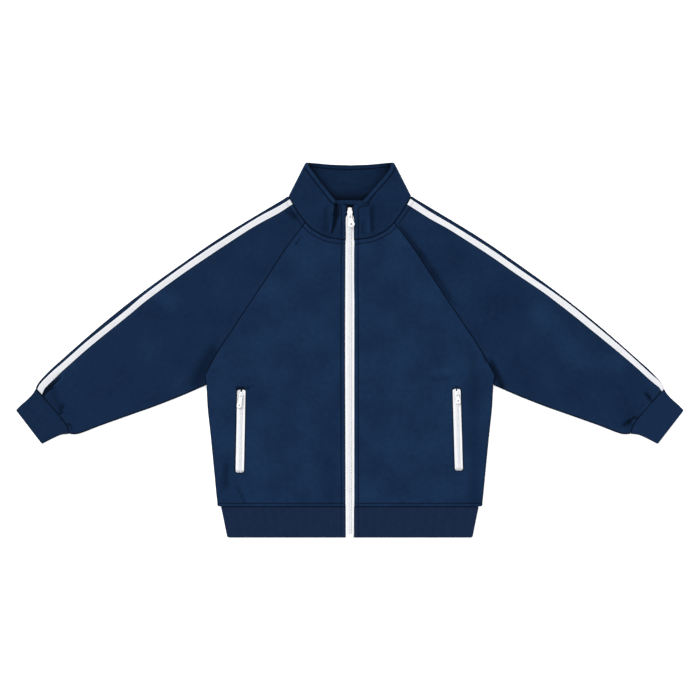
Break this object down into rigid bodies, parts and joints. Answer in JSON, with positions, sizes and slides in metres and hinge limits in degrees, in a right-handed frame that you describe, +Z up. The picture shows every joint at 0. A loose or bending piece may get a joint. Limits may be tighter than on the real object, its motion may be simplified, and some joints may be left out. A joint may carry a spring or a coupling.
{
  "type": "raglan zip track jacket",
  "caption": "Child's raglan track jacket laid flat and zipped up, with stand collar, ribbed cuffs and hem, zipped side pockets and a white tape down each sleeve.",
  "frame": {"origin": "middle of the jacket's bounding box, on the surface that the back lies on", "axes": "+X to the wearer's left, +Y toward the collar, +Z up through the layers, out of the front"},
  "size_m": [1, 0.5618, 0.0147],
  "materials": {
    "navy_cloth": "matte",
    "navy_rib": "matte",
    "white_tape": "matte",
    "white_plastic": "satin",
    "white_enamel": "satin"
  },
  "bodies": {
    "jacket": {"back": "navy_cloth", "front_left": "navy_cloth", "front_right": "navy_cloth", "sleeve_left": "navy_cloth", "sleeve_right": "navy_cloth", "collar": "navy_cloth", "cuff_left": "navy_rib", "cuff_right": "navy_rib", "hem_band": "navy_rib", "stripe_left": "white_tape", "stripe_right": "white_tape", "zip_tape_left": "white_tape", "zip_tape_right": "white_tape", "zip_chain": "white_plastic", "zip_box": "white_plastic", "zip_slider": "white_enamel", "pocket_left_tape_a": "white_tape", "pocket_left_tape_b": "white_tape", "pocket_left_chain": "white_plastic", "pocket_left_slider": "white_enamel", "pocket_right_tape_a": "white_tape", "pocket_right_tape_b": "white_tape", "pocket_right_chain": "white_plastic", "pocket_right_slider": "white_enamel"},
    "front_pull": {"zip_pull": "white_enamel"},
    "left_pocket_pull": {"pocket_left_pull": "white_enamel"},
    "right_pocket_pull": {"pocket_right_pull": "white_enamel"}
  },
  "joints": [
    {"name": "front_pull_hinge", "type": "hinge", "parent": "jacket", "child": "front_pull", "pos_m": [0, 0.2028, 0.01275], "axis": [-1, 0, 0], "range_deg": [0, 170]},
    {"name": "left_pocket_pull_hinge", "type": "hinge", "parent": "jacket", "child": "left_pocket_pull", "pos_m": [0.15966, -0.0647, 0.00812], "axis": [-0.9994, -0.0336, 0], "range_deg": [0, 170]},
    {"name": "right_pocket_pull_hinge", "type": "hinge", "parent": "jacket", "child": "right_pocket_pull", "pos_m": [-0.16318, -0.0658, 0.0081], "axis": [-0.9997, 0.0234, 0], "range_deg": [0, 170]}
  ]
}
